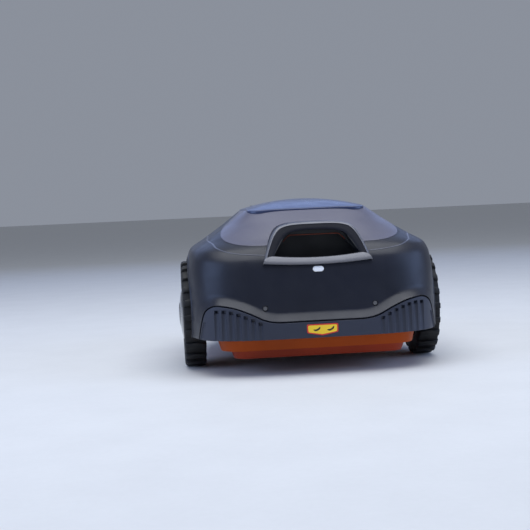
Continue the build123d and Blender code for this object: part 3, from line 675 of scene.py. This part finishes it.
def apron():
    """The lower rear panel: a net between its foot, flanks and upper edge, bent onto the plan's curve."""
    edge = GROOVE_PATH - groove_normal() * GROOVE_WIDTH * 0.5
    edge[:, 1] = np.maximum(edge[:, 1], SHELL_BOTTOM)
    corner = int(np.argmin(np.abs(edge[:, 0] + length_at_x(np.array(APRON_CORNER_X)))))
    flank_left, top, flank_right = edge[:corner + 1], edge[corner:-corner - 1], edge[:-corner - 2:-1]
    u = np.concatenate([[0, 0.0012, 0.003], np.linspace(0.006, 0.994, 860), [0.997, 0.9988, 1]])
    v = np.concatenate([[0, 0.012], np.linspace(0.03, 0.965, 96), [0.978, 0.989, 0.996, 1]])
    bottom = at_height(flank_left[0, 0] + (flank_right[0, 0] - flank_left[0, 0]) * u, SHELL_BOTTOM)
    upper = sample(even(top, 800), u)
    left, right = sample(even(flank_left, 200), v), sample(even(flank_right, 200), v)
    U, V = np.meshgrid(u, v)
    P = ((1 - V)[..., None] * bottom + V[..., None] * upper + (1 - U)[..., None] * left[:, None]
         + U[..., None] * right[:, None])
    P -= ((1 - U) * (1 - V))[..., None] * bottom[0] + (U * (1 - V))[..., None] * bottom[-1]
    P -= ((1 - U) * V)[..., None] * upper[0] + (U * V)[..., None] * upper[-1]
    length, z = P[..., 0], P[..., 1]
    turn = turn_at(length)
    x = apron_point(turn, z)[..., 0]
    gap = np.maximum(-groove_distance(length, z) - GROOVE_WIDTH * 0.5, 0)
    roll = np.maximum(edge_fall(gap, EDGE_R), edge_fall(np.clip(z - SHELL_BOTTOM, 0, FOOT_R), FOOT_R))
    groove_top = np.interp(length_at_x(np.array(FLUTES)), GROOVE_PATH[:, 0], GROOVE_PATH[:, 1])
    tops = {c: min(t - 5.5, 111.0) for c, t in zip(FLUTES, groove_top)}
    front = apron_point(turn, z, roll + flute_depth(x, z, tops) * (gap > 0.8))
    add_mesh("apron_panel", slab_between(front, apron_point(turn, z, APRON_THICK)), "apron_plastic",
             ["rear_apron"])


def caution_mark():
    """A plain warning field without any lettering: red border, yellow field, two dark strokes."""
    def shield(grow):
        corners = [(-25.6 - grow, 83.2 + grow), (25.6 + grow, 83.2 + grow), (25.2 + grow, 69.2 - grow * 0.6),
                   (0, 64.6 - grow), (-25.2 - grow, 69.2 - grow * 0.6)]
        return rounded(corners, 2.2, 90, closed=True)

    add_mesh("caution_border", along_y(shield(0), -310.2, -309.2), "sticker_vinyl", ["caution_sticker"],
             "sticker_red")
    add_mesh("caution_field", along_y(shield(-2.0), -310.3, -309.2), "sticker_vinyl")
    strokes = []
    for x, lean in ((-9.5, 0.4), (13.0, 0.9)):
        wave = [(x - 6.0, 74.6 - lean), (x - 2.0, 74.9 - lean), (x + 2.0, 76.0), (x + 5.4, 78.2 + lean),
                (x + 5.2, 75.2), (x + 1.6, 72.6), (x - 2.4, 72.2 - lean)]
        strokes.append(along_y(smooth_line(wave, 41, closed=True)[:-1], -310.38, -309.6))
    add_mesh("caution_strokes", joined(strokes), "sticker_vinyl", finish="sticker_dark")


# ---- upper panel, seam and lens
# right half of the panel's plan, from the middle of the rear to the middle of the front
PANEL_PLAN = [(0, -260), (45, -260), (88, -257), (112, -251), (131, -239), (145, -219), (151, -194),
              (150, -165), (143, -132), (130, -99), (116, -64), (107, -20), (103, 30), (97, 92), (78, 131),
              (40, 149), (0, 152)]


def upper_panel():
    """The satin panel round the hatch, laid over the shell."""
    right = np.array(PANEL_PLAN, float)
    left = right[-2:0:-1] * (-1, 1)
    outline = smooth_line(np.concatenate([right, left]), 601, closed=True)[:-1]
    centre = np.array([0, (BAY[1] + BAY[2]) / 2])
    facing = np.arctan2(outline[:, 0] - centre[0], outline[:, 1] - centre[1])
    hole = rounded_box_ring(facing, *BAY)
    tangent = np.roll(outline, -1, 0) - np.roll(outline, 1, 0)
    tangent /= np.linalg.norm(tangent, axis=1)[:, None]
    inward = np.stack([-tangent[:, 1], tangent[:, 0]], 1)
    inward *= np.sign(((centre - outline) * inward).sum(1))[:, None]
    lift = 0.7

    def ring(plan, up):
        z = height_of(plan[:, 0], plan[:, 1])
        eps = 0.5
        x, y = plan.T
        dx = (height_of(x + eps, y) - height_of(x - eps, y)) / (2 * eps)
        dy = (height_of(x, y + eps) - height_of(x, y - eps)) / (2 * eps)
        normal = np.stack([-dx, -dy, np.ones(len(z))], 1)
        normal /= np.linalg.norm(normal, axis=1)[:, None]
        return np.column_stack([plan, z]) + normal * up

    sections = [ring(outline, -1.6), ring(outline, lift - 0.4), ring(outline + inward * 0.12, lift - 0.12),
                ring(outline + inward * 0.45, lift)]
    start = outline + inward * 1.6
    for k in np.linspace(0, 1, 40):
        sections.append(ring(start + (hole - start) * k, lift if k < 1 else lift - 0.15))
    sections += [ring(hole, -1.6), ring(start + (hole - start) * 0.5, -1.8)]
    add_mesh("upper_panel", rings(sections, loop=True), "panel_lacquer", ["top_panel"],
             cutter=[stop_cutter(), mouth_cutter()])


def seam():
    """The raised line where the upper cover meets the lower shell, all the way round, in a lighter finish
    that is a painted highlight.
    """
    # height of the line at a few plan angles in degrees from the nose
    knots = [(0, 219), (45, 222), (80, 226), (100, 224), (125, 218), (136, 209), (146, 200.5),
             (158, 196.2), (170, 195), (180, 195)]
    turn = np.linspace(0, 2 * pi, 720, endpoint=False)
    folded = np.degrees(np.minimum(turn, 2 * pi - turn))
    z = np.interp(folded, *smooth_line(knots, 200).T)
    half_width, lift = 0.65, 0.35
    sections = []
    for k in np.linspace(0, pi, 6):
        sections.append(dome_point(turn, z + half_width * np.cos(k), -lift * sin(k) - 0.02))
    sections.append(dome_point(turn, z, 1.0))
    add_mesh("cover_seam", rings(sections, loop=True), "shell_plastic", finish="seam_painted_highlight",
             cutter=[box_prism(83, 180, 215, 6, -330, -240)])


LENS_Z, LENS_HALF_X, LENS_HALF_Z = 171.0, 9.0, 4.5


def lens():
    """The white lens on the rear face and its dark bezel."""
    outline = box_ring(-LENS_HALF_X, LENS_HALF_X, -LENS_HALF_Z, LENS_HALF_Z, LENS_HALF_Z - 0.01, 64)

    def ring(scale, out):
        p = outline * scale + (0, LENS_Z)
        return upright(p, rear_y(*p.T) - out)

    dome = [ring(scale, out) for scale, out in ((1.0, -2.0), (1.0, 0.1), (0.97, 0.45), (0.86, 0.75),
                                                (0.6, 1.0), (0.3, 1.1), (0.01, 1.15))]
    add_mesh("lens_pad", rings(dome), "lens_white", ["rear_lens"], sharp=50)
    bezel = [ring(scale, out) for scale, out in ((1.02, -1.5), (1.02, 0.25), (1.06, 0.45), (1.13, 0.45),
                                                 (1.17, 0.2), (1.18, -1.5))]
    add_mesh("lens_bezel", rings(bezel, loop=True), "dark_plastic")


# ---- handle hood, pocket strips and sill
def lip_y(z):
    """The slanted plane of the hood's lip."""
    return LIP_FOOT[0] + (z - LIP_FOOT[1]) * (LIP_TOP[0] - LIP_FOOT[0]) / (LIP_TOP[1] - LIP_FOOT[1])


def hood():
    """The arched hood round the mouth, with a rolled rim whose lighter finish is a painted highlight."""
    count = 161
    right = [(87.8, 187.5), (86.0, 193), (80, 210), (71.5, 228), (61, 240), (46, 245.5), (25, 247.6)]
    outer = smooth_line(mirrored(right, (0, 248)), count)
    right = [(73.4, 189.5), (71.4, 193), (61, 212), (50, 226), (36, 232), (18, 234)]
    inner = smooth_line(mirrored(right, (0, 234.5)), count)
    across = outer - inner
    width = np.linalg.norm(across, axis=1)[:, None]
    across /= width
    rim = 4.2

    def row(plan, back):
        return upright(plan, lip_y(plan[:, 1]) + back)

    face_start, face_end = inner + across * 1.6, outer - across * rim
    rows = [row(inner, 26), row(inner, 8), row(inner, 1.6), row(inner + across * 0.5, 0.45),
            row(face_start, 0)]
    rows += [row(face_start + (face_end - face_start) * k, 0) for k in (0.35, 0.7)]
    # the rim stands a little behind the face and rolls over to the outer wall; its lighter finish is a
    # painted highlight
    rows += [row(face_end, 0.0), row(face_end + across * 0.35, -0.7)]
    for k in np.linspace(0.0, 1.0, 9):
        angle = k * pi / 2
        out = 0.5 + (rim - 0.5) * sin(angle)
        rows.append(row(face_end + across * out, -0.8 + (rim + 0.8) * (1 - cos(angle))))
    depth = np.maximum(rear_y(outer[:, 0], outer[:, 1]) + 5 - lip_y(outer[:, 1]), rim + 3)
    rows += [row(outer, rim + (depth - rim) * k) for k in (0.33, 0.66, 1.0)]
    rows += [row(inner + across * 3.5, depth), row(inner + across * 3.5, 27)]
    obj = add_mesh("hood_arch", rings(np.stack(rows, 1)), "hood_plastic", ["handle_hood"])
    # second finish: the rim's painted highlight
    obj.data.materials.append(FINISH["rim_painted_highlight"])
    # the rolled rim lies between these rows and takes the painted highlight finish
    rim_first, rim_last = 8, 17
    for face in obj.data.polygons:
        places = [v % len(rows) for v in face.vertices]
        if rim_first <= min(places) and max(places) <= rim_last and len(places) == 4:
            face.material_index = 1


def pocket_frame():
    """A stepped frame inside the dark pocket, with a thin rust-coloured strip along its lower edge."""
    outer, inner = [rounded(mirrored(side), 8, 121) for side in ([(77.4, 190), (59.4, 211.4), (46, 234.4)],
                                                                 [(75.4, 190), (57, 211), (42, 226.5)])]

    step = inner - (0, 0.5)
    rows = [upright(outer, -246), upright(inner, -246), upright(step, -245), upright(step, -238),
            upright(outer, -238)]
    add_mesh("pocket_frame", rings(np.stack(rows, 1)), "dark_plastic")
    path = inner[np.abs(inner[:, 0]) < 53]
    rows = [upright(path + (0, 0.9 * cos(angle)), -246.4 + 0.9 * sin(angle))
            for angle in np.arange(8) * pi / 4]
    add_mesh("pocket_strip", rings(np.stack(rows, 1)), "dark_plastic", finish="rust_plastic")


def sill():
    """The slanted sill under the mouth, pointed at its ends. Its light grey is partly its own satin trim
    colour and partly painted highlight for sky light on its upward face.
    """
    # half width, height at the ends, and Y of each line across the sill, from its lower edge over and inwards
    profile = [(88.6, 182.4, -283.0), (89.8, 182.6, -287.0), (90.0, 183.3, -288.8), (89.4, 184.6, -289.3),
               (88.4, 186.4, -288.6), (87.2, 188.6, -287.2), (85.8, 190.6, -285.8), (83.4, 192.2, -284.6),
               (79.5, 193.4, -283.4), (75.5, 194.1, -282.2), (73.0, 194.4, -280.8), (72.3, 194.3, -278.4),
               (72.0, 193.4, -273.0), (71.8, 192.0, -262.0), (71.6, 190.4, -250.0), (71.2, 188.6, -232.0)]
    rows = []
    for half, z, y in profile:
        x = np.linspace(-1, 1, 61) * half
        bow = 1 - (x / half) ** 2
        rows.append(np.stack([x, y - 1.2 * bow, z - 4.4 * bow], 1))
    front = np.array(rows)
    back = front.copy()
    back[..., 2] -= 4.0
    back[..., 1] = np.maximum(back[..., 1] + 3.5, -282.0)
    add_mesh("sill_trim", slab_between(front, back), "sill_metallic", ["handle_sill"])


def slot_shroud():
    """The funnel behind the charging slot, open at both ends."""
    sections = []
    for half_x, z0, z1, r, at_nose in ((36.3, 83.7, 108.3, 6.2, True), (31.0, 86.0, 106.0, 5.0, False),
                                       (32.3, 84.7, 107.3, 6.2, False), (37.6, 82.4, 109.6, 7.4, True)):
        outline = box_ring(-half_x, half_x, z0, z1, r, 96)
        sections.append(upright(outline, nose_y(*outline.T) - 2.0 if at_nose else 287.5))
    add_mesh("slot_shroud", rings(sections, loop=True), "dark_plastic")


# ---- hatch
HATCH = (103.0, -171.0, 80.0, 26.0)  # half width, rear, front, corner radius
HATCH_TOP, HATCH_GAP, SIDE_R, LONG_R, CROWN_Y = 288.0, 0.6, 340.0, 528.0, -34.0
HINGE_Y, HINGE_Z = 85.0, 275.0


def crown(x, y):
    """The hatch's height: two crossing arcs, softly joined."""
    across, along = x**2 / (2 * SIDE_R), (y - CROWN_Y) ** 2 / (2 * LONG_R)
    return HATCH_TOP - (across**3 + along**3 + 1e-9) ** (1 / 3)


def hatch():
    """The hatch: a crowned cap with ribs below it, hinge knuckles and their arms."""
    turn = np.linspace(0, 2 * pi, 360, endpoint=False)
    rim = rounded_box_ring(turn, *HATCH)
    centre = np.array([0, (HATCH[1] + HATCH[2]) / 2])

    def above(plan, drop):
        """A ring a little under the crown."""
        return np.column_stack([plan, crown(plan[:, 0], plan[:, 1]) - drop])

    def near_deck(plan, up):
        """A ring a little over the deck and its slope, never above the crown."""
        z = height_of(plan[:, 0], plan[:, 1]) + HATCH_GAP + up
        return np.column_stack([plan, np.minimum(z, crown(plan[:, 0], plan[:, 1]) - 0.8)])

    def inset(distance):
        half_x, y0, y1, r = HATCH
        return rounded_box_ring(turn, half_x - distance, y0 + distance, y1 - distance, r - distance)

    sections = [above(centre + (rim - centre) * k, 0.0)
                for k in np.concatenate([[0.01], np.linspace(0.06, 0.95, 26)])]
    sections += [above(inset(distance), drop)
                 for distance, drop in ((2.6, 0.0), (1.4, 0.12), (0.6, 0.45), (0.12, 1.0))]
    sections += [near_deck(inset(distance), up)
                 for distance, up in ((0.0, 0.8), (0.15, 0.3), (0.6, 0.0), (2.6, 0.0))]
    for distance in (3.2, 6.0, 12.0):
        plan = inset(distance)
        sections.append(np.maximum(above(plan, 3.2), near_deck(plan, 0.0)))
    sections += [above(centre + (rim - centre) * k, 3.2) for k in np.linspace(0.8, 0.01, 12)]
    parts = [rings(sections)]
    for side in (-1, 1):
        low_x, high_x = sorted((side * 52, side * 74))
        knuckle = [(low_x, 0), (low_x, 3.6), (low_x + 0.5, 4.0), (high_x - 0.5, 4.0), (high_x, 3.6),
                   (high_x, 0)]
        parts.append(along_x(knuckle, HINGE_Y, HINGE_Z, 1, 40))
        arm = box_ring(62, HINGE_Y, 272.4, 276.8, 0.8, 40)
        parts.append(rings([np.column_stack([np.full(40, x), arm]) for x in (low_x + 0.3, high_x - 0.3)]))
    for x in (-60, -20, 20, 60):
        top = np.array([(y, crown(x, y) - 2.6) for y in np.linspace(58.0, -118.0, 14)])
        rib = np.concatenate([top, top[::-1] - (0, 2.6)])
        parts.append(rings([np.column_stack([np.full(len(rib), x + dx), rib]) for dx in (-0.9, 0.9)]))
    add_mesh("hatch_cover", joined(parts), "hatch_gloss", ["hatch_lid"], body="hatch", sharp=40)


# ---- control icons
def ring_arc(x, y, z, r, half, start, end, count=28):
    """A flat raised arc."""
    turn = np.radians(np.linspace(start, end, count))
    corners = [(r - half, 0), (r - half, 0.3), (r + half, 0.3), (r + half, 0)]
    grid = [[(x + q * cos(t), y + q * sin(t), z + h - 0.15) for q, h in corners] for t in turn]
    return rings(grid)


def flat_shape(points, z):
    """A thin raised outline."""
    return rings([at_height(np.asarray(points, float), h) for h in (z - 0.15, z + 0.15)])


def bar(x0, y0, x1, y1, half, z):
    """A thin raised bar between two points."""
    d = np.array([x1 - x0, y1 - y0], float)
    d /= np.linalg.norm(d)
    n = np.array([-d[1], d[0]]) * half
    a, b = np.array([x0, y0], float), np.array([x1, y1], float)
    return flat_shape([a + n, a - n, b - n, b + n], z)


def key_marks():
    """The raised icons on the four keys."""
    top, y = CONTROL_TOP, -70.0
    marks = {
        "power": [ring_arc(-57, y - 0.4, top, 3.2, 0.45, -230, 50),
                  bar(-57, y + 0.4, -57, y + 4.2, 0.45, top)],
        "start": [flat_shape([(-29.6, y - 3.4), (-23.8, y), (-29.6, y + 3.4)], top)],
        "home": [flat_shape([(-0.2, y - 3.4), (6.2, y - 3.4), (6.2, y + 0.4), (8.0, y + 0.4), (3.0, y + 4.4),
                             (-2.0, y + 0.4), (-0.2, y + 0.4)], top)],
        "ok": [bar(29.6, y + 0.2, 31.9, y - 2.6, 0.55, top), bar(31.6, y - 2.6, 37.0, y + 3.2, 0.55, top)],
    }
    for name, parts in marks.items():
        add_mesh(f"mark_{name}", joined(parts), "key_rubber", finish="mark_white", body=f"{name}_key")


def display_detail():
    """A bezel round the display, with a battery gauge and dots raised on its glass."""
    outline, inner = box_ring(-72, 6, -30, 18, 4, 96), box_ring(-69.5, 3.5, -27.5, 15.5, 2.5, 96)
    low = CONTROL_TOP - 0.9
    grid = [at_height(outline, low), at_height(outline, CONTROL_TOP), at_height(inner, CONTROL_TOP),
            at_height(inner, low)]
    add_mesh("display_bezel", rings(grid, loop=True), "key_rubber")
    glass = CONTROL_TOP - 0.4
    marks = [bar(-62 + 6 * k, 8, -58.5 + 6 * k, 8, 2.2, glass) for k in range(4)]
    marks += [bar(-60 + 11 * k, -16.01, -55 + 11 * k, -16, 0.8, glass) for k in range(5)]
    add_mesh("display_marks", joined(marks), "display_glass", finish="mark_white")


# ---- wheels
LUG_COUNT, RIB_COUNT, RIM_R, TYRE_MIDDLE = 22, 12, 66.0, 203.0


def tyre(side, name):
    """The carcass, with lugs bent back towards both shoulders."""
    profile = [(185.5, RIM_R), (184.4, 68), (184.2, 76), (184.6, 83), (186.2, 86.8), (189, 88), (203, 88.2),
               (217, 88), (220, 86.8), (221.4, 83), (221.9, 76), (221.7, 68), (220.4, RIM_R), (212, RIM_R),
               (194, RIM_R)]
    parts = [along_x(profile, WHEEL_Y, WHEEL_Z, side, 132, loop=True)]
    lug = np.array([(184.9, 80), (184.4, 88.5), (186.4, 91.9), (189.5, 92.9), (203, 93), (216, 92.9),
                    (219.6, 91.7), (221.5, 87.5), (221.9, 78), (218, 80), (203, 84), (189, 82)])
    middle = np.array([TYRE_MIDDLE, 85.0])
    for k in range(LUG_COUNT):
        base = 2 * pi * k / LUG_COUNT
        sections = []
        for offset, scale in ((-5.4, 0.90), (-4.9, 0.965), (-4, 1), (4, 1), (4.9, 0.965), (5.4, 0.90)):
            p = middle + (lug - middle) * scale
            p[:, 1] = np.where(lug[:, 1] < 86, lug[:, 1], p[:, 1])
            skew = 3.2 * np.abs(p[:, 0] - TYRE_MIDDLE) / 19 - 1.6
            angle = base + (offset + skew) / 90.0
            sections.append(np.stack([side * p[:, 0], WHEEL_Y + p[:, 1] * np.cos(angle),
                                      WHEEL_Z + p[:, 1] * np.sin(angle)], 1))
        parts.append(rings(sections))
    verts, faces = joined(parts)
    verts[:, 2] = np.maximum(verts[:, 2], 0)
    add_mesh(f"tyre_tread_{name}", (verts, faces), "tyre_rubber", [f"tyre_{name}"], body=f"wheel_{name}",
             sharp=38)


def rim(side, name):
    """The wheel's dish, with a rolled edge and ribs on its inner face."""
    profile = [(196, 6.1), (196, 14), (198.5, 15), (201, 17), (203, 24), (203.5, 50), (202, 58), (198, 61),
               (189.5, 61.5), (188, 62.5), (187, 64.2), (187.4, 65.4), (189, RIM_R - 0.1),
               (216.5, RIM_R - 0.1), (218.4, 65.2), (218.8, 63.4), (217.6, 61.4), (214, 61), (207, 60),
               (206, 50), (206, 20), (208, 15.5), (213, 14.8), (213, 6.1)]
    parts = [along_x(profile, WHEEL_Y, WHEEL_Z, side, loop=True)]
    for k in range(RIB_COUNT):
        angle = 2 * pi * k / RIB_COUNT
        u, w = np.array([cos(angle), sin(angle)]), np.array([-sin(angle), cos(angle)])
        sections = []
        for r, depth in ((14, 192.5), (40, 195), (60.5, 190)):
            corners = [(-1.4, 204), (-1.0, depth + 0.5), (-0.5, depth), (0.5, depth), (1.0, depth + 0.5),
                       (1.4, 204)]
            sections.append([(side * x, WHEEL_Y + u[0] * r + w[0] * t, WHEEL_Z + u[1] * r + w[1] * t)
                             for t, x in corners])
        parts.append(rings(sections))
    add_mesh(f"rim_dish_{name}", joined(parts), "dark_plastic", [f"rim_{name}"], body=f"wheel_{name}")


def hub(side, name):
    """The convex glossy cover, with a stepped edge, a ring and a small centre cap."""
    profile = [(213.3, 0), (213.3, 57.0), (213.8, 57.9), (215.4, 58.0), (216.4, 57.2), (216.8, 55.4),
               (216.4, 54.4), (217.2, 53.6), (219.6, 49.5), (222.0, 43.0), (223.9, 36.0), (225.2, 29.0),
               (226.0, 23.5), (225.5, 22.6), (225.5, 21.6), (226.4, 20.8), (227.4, 18.0), (228.2, 12.0),
               (228.7, 6.0), (228.8, 0.3)]
    add_mesh(f"hub_dome_{name}", along_x(profile, WHEEL_Y, WHEEL_Z, side, 128), "hub_gloss",
             [f"hub_cover_{name}"], body=f"wheel_{name}", sharp=28)


def arch_lip(side, name):
    """A rolled lip round the wheel opening."""
    foot = np.arcsin((SHELL_BOTTOM - WHEEL_Z) / (ARCH_R + 1))
    turn = np.linspace(foot, pi - foot, 140)
    rows = []
    for r, out in ((100.4, -4.0), (100.4, 0.5), (100.9, 1.2), (101.9, 1.5), (103.6, 1.3), (104.8, 0.6),
                   (105.3, -0.6), (104.0, -4.0)):
        y, z = WHEEL_Y + r * np.cos(turn), np.maximum(WHEEL_Z + r * np.sin(turn), SHELL_BOTTOM)
        rows.append(np.stack([side * (side_x(y, z) + out), y, z], 1))
    add_mesh(f"arch_lip_{name}", rings(np.stack(rows, 1)), "shell_plastic")


def arch_wall(side, name):
    """The upper inner wall of the wheel opening, a plain sector beside the tyre."""
    corners = [(176.2, 66), (177.8, 66), (177.8, 101.6), (176.2, 101.6)]
    sections = [[(side * x, WHEEL_Y + r * cos(angle), WHEEL_Z + r * sin(angle)) for x, r in corners]
                for angle in np.radians(np.linspace(14, 166, 77))]
    add_mesh(f"arch_wall_{name}", rings(sections), "dark_plastic")


for make in (shell_body, ledge, apron, caution_mark, upper_panel, seam, lens, hood, pocket_frame, sill,
             slot_shroud, hatch, key_marks, display_detail):
    make()
for makers in ((tyre, rim, hub), (arch_lip, arch_wall)):
    for wheel_side, wheel_name in ((-1, "left"), (1, "right")):
        for make in makers:
            make(wheel_side, wheel_name)


# ---- floor, lights and camera
FLOOR_HALF = 40.0
floor_mesh = bpy.data.meshes.new("floor")
floor_mesh.from_pydata([(x * FLOOR_HALF, y * FLOOR_HALF, 0) for x, y in ((-1, -1), (1, -1), (1, 1), (-1, 1))],
                       [], [(0, 1, 2, 3)])
floor = bpy.data.objects.new("floor", floor_mesh)
bpy.context.scene.collection.objects.link(floor)
floor_mesh.materials.append(surface("floor_pale", (0.62, 0.62, 0.61), 0.75, grain=120, depth=0.00005,
                                    tint=0.02))

world = bpy.data.worlds.new("world")
world.use_nodes = True
sky = world.node_tree.nodes["Background"]
sky.inputs["Color"].default_value = (0.78, 0.85, 1.0, 1)
sky.inputs["Strength"].default_value = 0.33
bpy.context.scene.world = world


def softbox(name, place, target, width, depth, power, colour):
    """A rectangular area light in metres, facing its target."""
    light = bpy.data.lights.new(name, "AREA")
    light.shape = "RECTANGLE"
    light.size, light.size_y = width, depth
    light.energy = power
    light.color = colour
    obj = bpy.data.objects.new(name, light)
    obj.location = place
    obj.rotation_euler = (Vector(target) - Vector(place)).to_track_quat("-Z", "Y").to_euler()
    bpy.context.scene.collection.objects.link(obj)


softbox("light_top", (0.0, -0.4, 2.6), (0, 0, 0.1), 3.2, 2.6, 84, (0.93, 0.96, 1.0))
softbox("light_front", (0.0, 3.2, 2.0), (0, 0, 0.2), 5.0, 1.4, 20, (0.34, 0.50, 1.0))
for light_side, light_name in ((-1, "left"), (1, "right")):
    softbox(f"light_{light_name}", (2.8 * light_side, -0.9, 1.2), (0, 0, 0.15), 2.4, 2.0, 40,
            (0.42, 0.58, 1.0))

CAMERA_PLACE = Vector((-0.2358, -2.0634, 0.274))
HEADING, PITCH, ROLL = radians(4.8), radians(2.98), radians(2.6)
# the photograph's view
ahead = Vector((sin(HEADING) * cos(PITCH), cos(HEADING) * cos(PITCH), -sin(PITCH)))
right = Vector((cos(HEADING), -sin(HEADING), 0))
up = right.cross(ahead)
rolled_right = right * cos(ROLL) - up * sin(ROLL)
rolled_up = up * cos(ROLL) + right * sin(ROLL)
camera_data = bpy.data.cameras.new("camera")
camera_data.lens = 74.85
camera_data.sensor_width = 36.0
camera_data.clip_start = 0.01
camera = bpy.data.objects.new("camera", camera_data)
turned = Matrix((rolled_right, rolled_up, -ahead)).transposed().to_4x4()
camera.matrix_world = Matrix.Translation(CAMERA_PLACE) @ turned
bpy.context.scene.collection.objects.link(camera)
bpy.context.scene.camera = camera
bpy.context.scene.view_settings.view_transform = "Standard"
